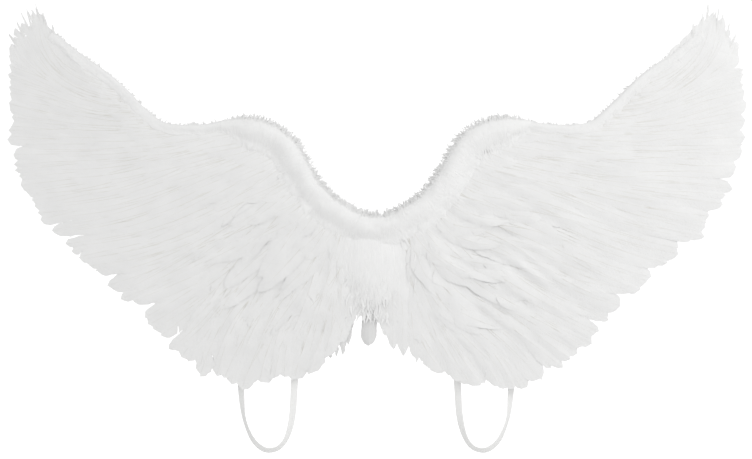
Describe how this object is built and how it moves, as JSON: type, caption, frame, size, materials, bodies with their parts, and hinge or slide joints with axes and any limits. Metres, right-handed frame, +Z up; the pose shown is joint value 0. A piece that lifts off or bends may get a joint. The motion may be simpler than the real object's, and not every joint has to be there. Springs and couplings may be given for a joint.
{
  "type": "feather costume wings",
  "caption": "Pair of white feather costume wings with a soft down centre, fluffy trim along the upper edge and elastic arm loops.",
  "frame": {"origin": "on the wearer's side of the centre panel, midway between the two fold lines", "axes": "+Z up, +X to the wearer's right, +Y towards the wearer's back; the feathers face -Y"},
  "size_m": [0.8022, 0.0283, 0.487],
  "materials": {
    "feather": "soft white feather vanes with a faint satin sheen",
    "down": "loose white marabou down",
    "backing_cloth": "white non-woven cloth, matt",
    "wing_board": "white card, matt",
    "frame_wire": "bare drawn wire",
    "elastic": "white woven flat elastic",
    "tape": "white cotton tape",
    "thread": "white sewing thread"
  },
  "bodies": {
    "back_panel": {"centre_backing": "backing_cloth", "centre_board": "wing_board", "upper_centre_wire": "frame_wire", "middle_centre_wire": "frame_wire", "lower_centre_wire": "frame_wire", "tail_feather": "feather", "centre_down": "down", "centre_trim": "down"},
    "left_wing": {"left_backing_cloth": "backing_cloth", "left_wing_board": "wing_board", "left_arm_wire": "frame_wire", "left_middle_rib_wire": "frame_wire", "left_lower_rib_wire": "frame_wire", "left_primary_feathers": "feather", "left_secondary_feathers": "feather", "left_greater_coverts": "feather", "left_median_coverts": "feather", "left_lesser_coverts": "feather", "left_shoulder_feathers": "feather", "left_tip_feathers": "feather", "left_marabou_trim": "down", "left_hinge_tape": "tape", "left_inner_strap_tab": "elastic", "left_outer_strap_tab": "elastic", "left_inner_bar_tack": "thread", "left_outer_bar_tack": "thread", "left_strap_patch": "tape"},
    "left_strap": {"left_arm_strap": "elastic"},
    "right_wing": {"right_backing_cloth": "backing_cloth", "right_wing_board": "wing_board", "right_arm_wire": "frame_wire", "right_middle_rib_wire": "frame_wire", "right_lower_rib_wire": "frame_wire", "right_primary_feathers": "feather", "right_secondary_feathers": "feather", "right_greater_coverts": "feather", "right_median_coverts": "feather", "right_lesser_coverts": "feather", "right_shoulder_feathers": "feather", "right_tip_feathers": "feather", "right_marabou_trim": "down", "right_hinge_tape": "tape", "right_inner_strap_tab": "elastic", "right_outer_strap_tab": "elastic", "right_inner_bar_tack": "thread", "right_outer_bar_tack": "thread", "right_strap_patch": "tape"},
    "right_strap": {"right_arm_strap": "elastic"}
  },
  "joints": [
    {"name": "left_wing_fold", "type": "hinge", "parent": "back_panel", "child": "left_wing", "pos_m": [-0.03, -0.0005, 0], "axis": [0, 0, 1], "range_deg": [-75, 40]},
    {"name": "left_strap_swing", "type": "hinge", "parent": "left_wing", "child": "left_strap", "pos_m": [-0.118, 0.003, 0.0205], "axis": [1, 0, 0], "range_deg": [0, 170]},
    {"name": "right_wing_fold", "type": "hinge", "parent": "back_panel", "child": "right_wing", "pos_m": [0.03, -0.0005, 0], "axis": [0, 0, -1], "range_deg": [-75, 40]},
    {"name": "right_strap_swing", "type": "hinge", "parent": "right_wing", "child": "right_strap", "pos_m": [0.118, 0.003, 0.0205], "axis": [1, 0, 0], "range_deg": [0, 170]}
  ]
}
